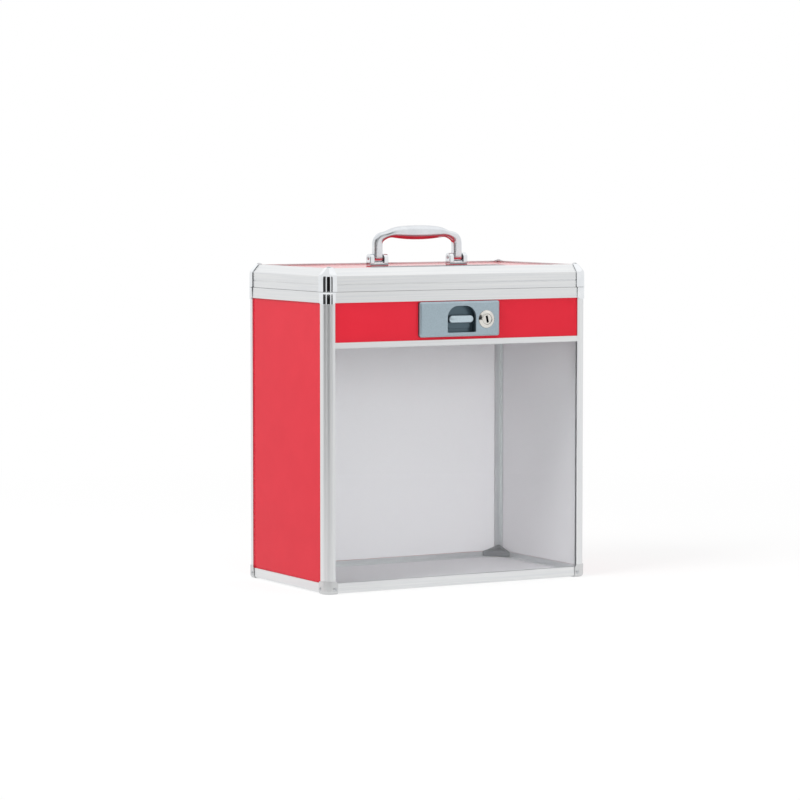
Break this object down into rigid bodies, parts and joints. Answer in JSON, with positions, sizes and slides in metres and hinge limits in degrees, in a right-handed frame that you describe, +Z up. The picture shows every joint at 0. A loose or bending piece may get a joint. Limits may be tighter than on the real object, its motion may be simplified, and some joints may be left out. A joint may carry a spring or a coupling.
{
  "type": "ballot box",
  "caption": "Upright ballot box with an aluminium frame, red panels, a clear front window, a hinged lid with a ballot slot and a folding handle, and a key lock with a sliding latch.",
  "frame": {"origin": "on the table under the middle of the box", "axes": "+Z up, -Y out of the front with the lock, +X to the right as seen from the front"},
  "size_m": [0.3616, 0.2123, 0.4264],
  "materials": {
    "frame_aluminium": "satin anodised",
    "red_panel": "satin laminate",
    "grey_lining": "matt",
    "clear_acrylic": "polished clear",
    "base_cap_silver": "matt silver",
    "chrome_trim": "polished",
    "plated_steel": "zinc plated",
    "lock_zinc": "satin grey",
    "lock_nickel": "nickel plated",
    "dark_plastic": "moulded",
    "slot_plastic": "moulded"
  },
  "bodies": {
    "case": {"post_front_left": "frame_aluminium", "post_front_right": "frame_aluminium", "post_rear_left": "frame_aluminium", "post_rear_right": "frame_aluminium", "base_rail_front": "frame_aluminium", "base_rail_rear": "frame_aluminium", "base_rail_left": "frame_aluminium", "base_rail_right": "frame_aluminium", "rim_rail_front": "frame_aluminium", "rim_rail_rear": "frame_aluminium", "rim_rail_left": "frame_aluminium", "rim_rail_right": "frame_aluminium", "divider_strip": "frame_aluminium", "lock_panel": "red_panel", "panel_left": "red_panel", "panel_right": "red_panel", "panel_rear": "red_panel", "floor_panel": "red_panel", "lining_left": "grey_lining", "lining_right": "grey_lining", "lining_rear": "grey_lining", "floor_lining": "grey_lining", "window": "clear_acrylic", "base_corner_caps": "base_cap_silver", "rim_corner_caps": "chrome_trim", "base_cap_rivets": "plated_steel", "hinge_body_leaves": "plated_steel", "hinge_pins": "plated_steel", "hinge_body_rivets": "plated_steel", "lock_case": "plated_steel", "lock_screws": "plated_steel", "cylinder_nut": "plated_steel", "lock_plate": "lock_zinc", "lock_cylinder": "lock_nickel", "inner_corner_braces": "dark_plastic"},
    "lid": {"lid_rail_front": "frame_aluminium", "lid_rail_rear": "frame_aluminium", "lid_rail_left": "frame_aluminium", "lid_rail_right": "frame_aluminium", "lid_corner_caps": "chrome_trim", "lid_cap_rivets": "plated_steel", "lid_panel": "red_panel", "lid_lining": "grey_lining", "slot_trim": "slot_plastic", "hinge_lid_leaves": "plated_steel", "hinge_lid_rivets": "plated_steel", "lid_keeper": "plated_steel", "keeper_screws": "plated_steel", "handle_bracket_left": "chrome_trim", "handle_bracket_right": "chrome_trim", "handle_pins": "plated_steel", "handle_screws": "plated_steel"},
    "handle": {"handle": "chrome_trim"},
    "latch": {"latch_slide": "lock_zinc", "slide_clip": "plated_steel"},
    "bolt": {"cross_bolt": "plated_steel"},
    "key_plug": {"key_plug": "lock_nickel", "key_cam": "plated_steel", "cam_screw": "plated_steel"}
  },
  "joints": [
    {"name": "lid_hinge", "type": "hinge", "parent": "case", "child": "lid", "pos_m": [0, 0.1032, 0.3517], "axis": [-1, 0, 0], "range_deg": [0, 105]},
    {"name": "handle_swing", "type": "hinge", "parent": "lid", "child": "handle", "pos_m": [0, 0, 0.38705], "axis": [1, 0, 0], "range_deg": [-82, 82]},
    {"name": "latch_slide", "type": "slide", "parent": "case", "child": "latch", "axis": [0, 0, 1], "range_m": [0, 0.006]},
    {"name": "bolt_slide", "type": "slide", "parent": "case", "child": "bolt", "axis": [-1, 0, 0], "range_m": [0, 0.008]},
    {"name": "key_turn", "type": "hinge", "parent": "case", "child": "key_plug", "pos_m": [0.0356, -0.097, 0.31625], "axis": [0, -1, 0], "range_deg": [0, 90]}
  ],
  "couplings": [
    {"joint": "bolt_slide", "follows": "latch_slide", "ratio": 1.3333}
  ]
}
